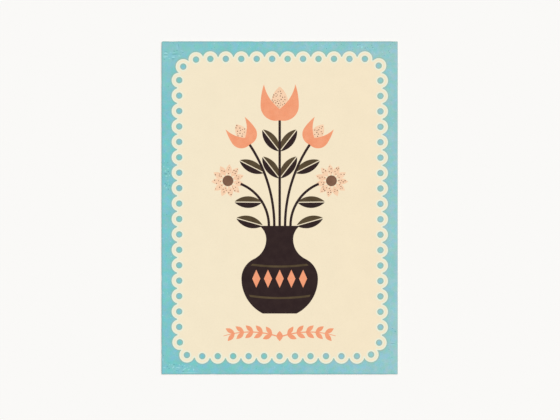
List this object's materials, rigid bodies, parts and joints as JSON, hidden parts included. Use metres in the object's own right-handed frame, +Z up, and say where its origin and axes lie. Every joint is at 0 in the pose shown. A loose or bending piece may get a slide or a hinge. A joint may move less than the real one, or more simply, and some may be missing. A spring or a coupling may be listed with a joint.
{
  "type": "postcard",
  "caption": "Picture postcard of plied board in upright format, with an aqua ground, a scalloped cream lace panel and a flower vase print; plain writing side.",
  "frame": {"origin": "in the middle of the writing side, on which the card lies", "axes": "+Z up, out of the picture; +Y towards the card's top edge; +X to the right of the picture"},
  "size_m": [0.105, 0.148, 0.0004],
  "materials": {
    "board_core": "rough cut edge",
    "white_liner": "smooth uncoated",
    "writing_paper": "uncoated, takes a pen",
    "matt_coating": "matt",
    "aqua_ink": "matt",
    "cream_ink": "matt",
    "dark_brown_ink": "matt",
    "olive_ink": "matt",
    "coral_ink": "matt",
    "blush_ink": "matt, speckled",
    "walnut_ink": "matt",
    "writing_side_ink": "matt"
  },
  "bodies": {
    "root": {"core_ply": "board_core", "front_liner": "white_liner", "back_liner": "writing_paper", "front_coating": "matt_coating", "aqua_ground": "aqua_ink", "cream_lace_panel": "cream_ink", "vase_body": "dark_brown_ink", "vase_lozenges": "coral_ink", "vase_bands": "olive_ink", "flower_stems": "dark_brown_ink", "leaf_outer_halves": "dark_brown_ink", "leaf_inner_halves": "olive_ink", "tulip_petals": "coral_ink", "tulip_hearts": "blush_ink", "aster_petals": "blush_ink", "aster_eyes": "walnut_ink", "ornament_sprig": "coral_ink", "divider_line": "writing_side_ink", "address_lines": "writing_side_ink", "stamp_frame": "writing_side_ink"}
  },
  "joints": []
}
